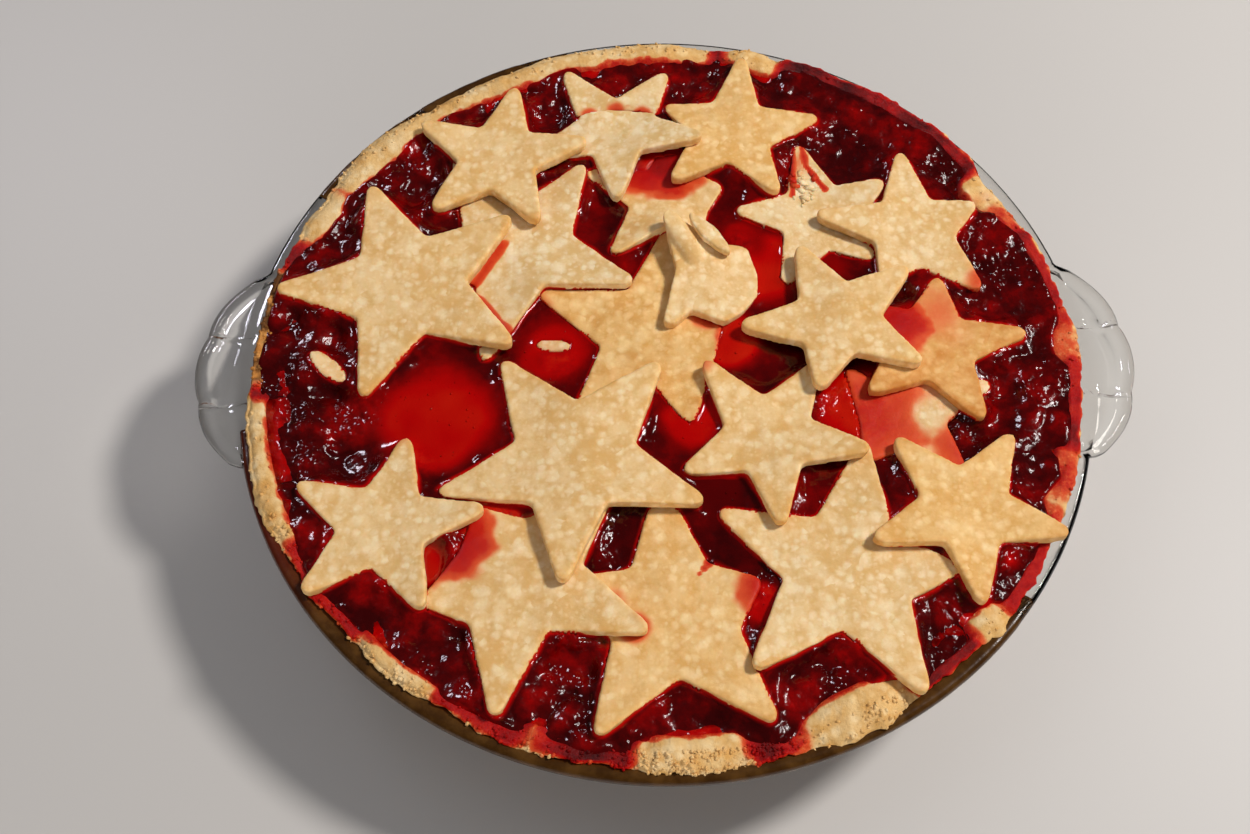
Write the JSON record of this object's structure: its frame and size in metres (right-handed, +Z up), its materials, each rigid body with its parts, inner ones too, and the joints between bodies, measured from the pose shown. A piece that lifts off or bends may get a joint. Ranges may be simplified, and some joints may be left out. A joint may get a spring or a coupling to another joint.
{
  "type": "strawberry pie",
  "caption": "Baked strawberry pie in a clear glass dish with two handles, its red filling topped with overlapping cut-out pastry stars.",
  "frame": {"origin": "middle of the dish's flat base, where it stands", "axes": "+X along the two handles, +Y across them, +Z up"},
  "size_m": [0.269, 0.2418, 0.0488],
  "materials": {
    "dish_glass": "clear moulded glass, smooth and glossy",
    "crust_pastry": "baked shortcrust, dry and crumbly, stained red where syrup soaked in",
    "strawberry_filling": "wet glossy strawberry filling with soft lumps of fruit",
    "star_pastry": "pale golden baked pastry, mottled, satin, pink at syrup-soaked edges"
  },
  "bodies": {
    "root": {"glass_dish": "dish_glass", "pie_crust": "crust_pastry", "strawberry_filling": "strawberry_filling", "star_large_front": "star_pastry", "star_large_middle": "star_pastry", "star_small_under_back": "star_pastry", "star_small_sunken": "star_pastry", "star_large_front_left": "star_pastry", "star_large_front_right": "star_pastry", "star_large_back_left": "star_pastry", "star_small_flaky": "star_pastry", "star_small_right": "star_pastry", "star_large_left": "star_pastry", "star_small_left_front": "star_pastry", "star_small_back_right": "star_pastry", "star_small_right_front": "star_pastry", "star_small_right_back": "star_pastry", "star_small_folded": "star_pastry", "star_small_middle_right": "star_pastry", "star_small_back_upper": "star_pastry", "star_small_back_lower": "star_pastry", "star_small_back_left": "star_pastry", "star_large_centre": "star_pastry", "star_small_centre_right": "star_pastry", "scrap_left": "star_pastry", "scrap_middle": "star_pastry", "scrap_folded_tip": "star_pastry"}
  },
  "joints": []
}
